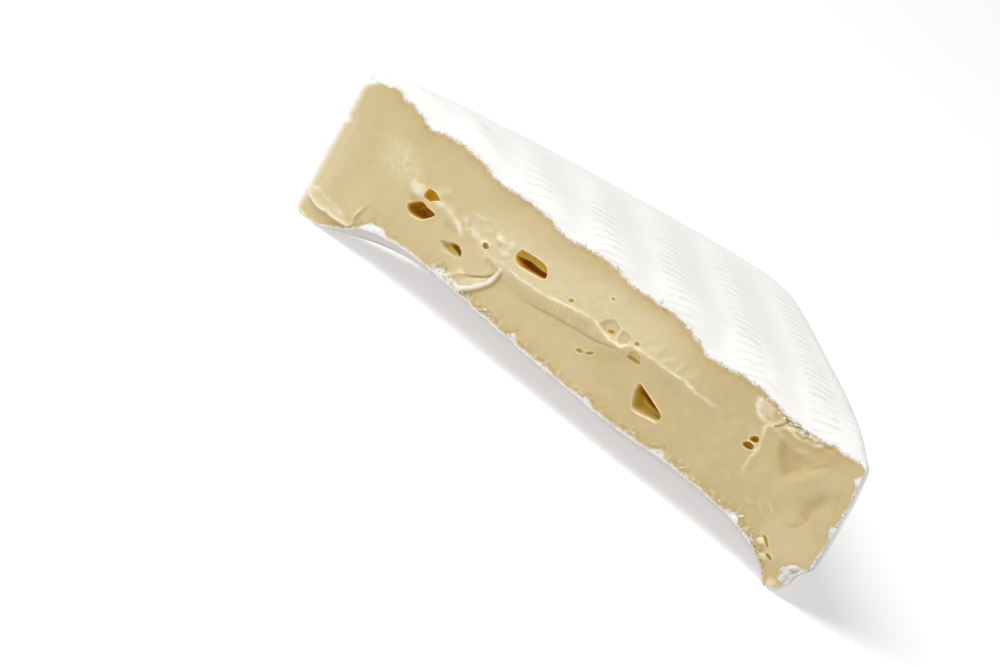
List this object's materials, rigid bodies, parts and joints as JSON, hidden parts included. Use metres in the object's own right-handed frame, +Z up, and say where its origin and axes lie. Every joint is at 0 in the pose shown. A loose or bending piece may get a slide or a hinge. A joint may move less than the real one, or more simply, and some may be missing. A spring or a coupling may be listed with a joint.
{
  "type": "brie wedge",
  "caption": "Triangular piece of soft white-rind cheese with a fresh cut face showing pale paste, small holes and a ragged rind edge.",
  "frame": {"origin": "middle of the bounding box on the surface the piece rests on, under its bottom rind", "axes": "+X along the cut face from its rounded tip to its crisp tip, -Y out of the cut face, +Y towards the square rind corner, +Z up"},
  "size_m": [0.134, 0.0618, 0.0324],
  "materials": {
    "brie": "soft cream-yellow paste with a faint sheen on the cut, and a dry, velvety white rind everywhere else"
  },
  "bodies": {
    "root": {"brie_wedge": "brie"}
  },
  "joints": []
}
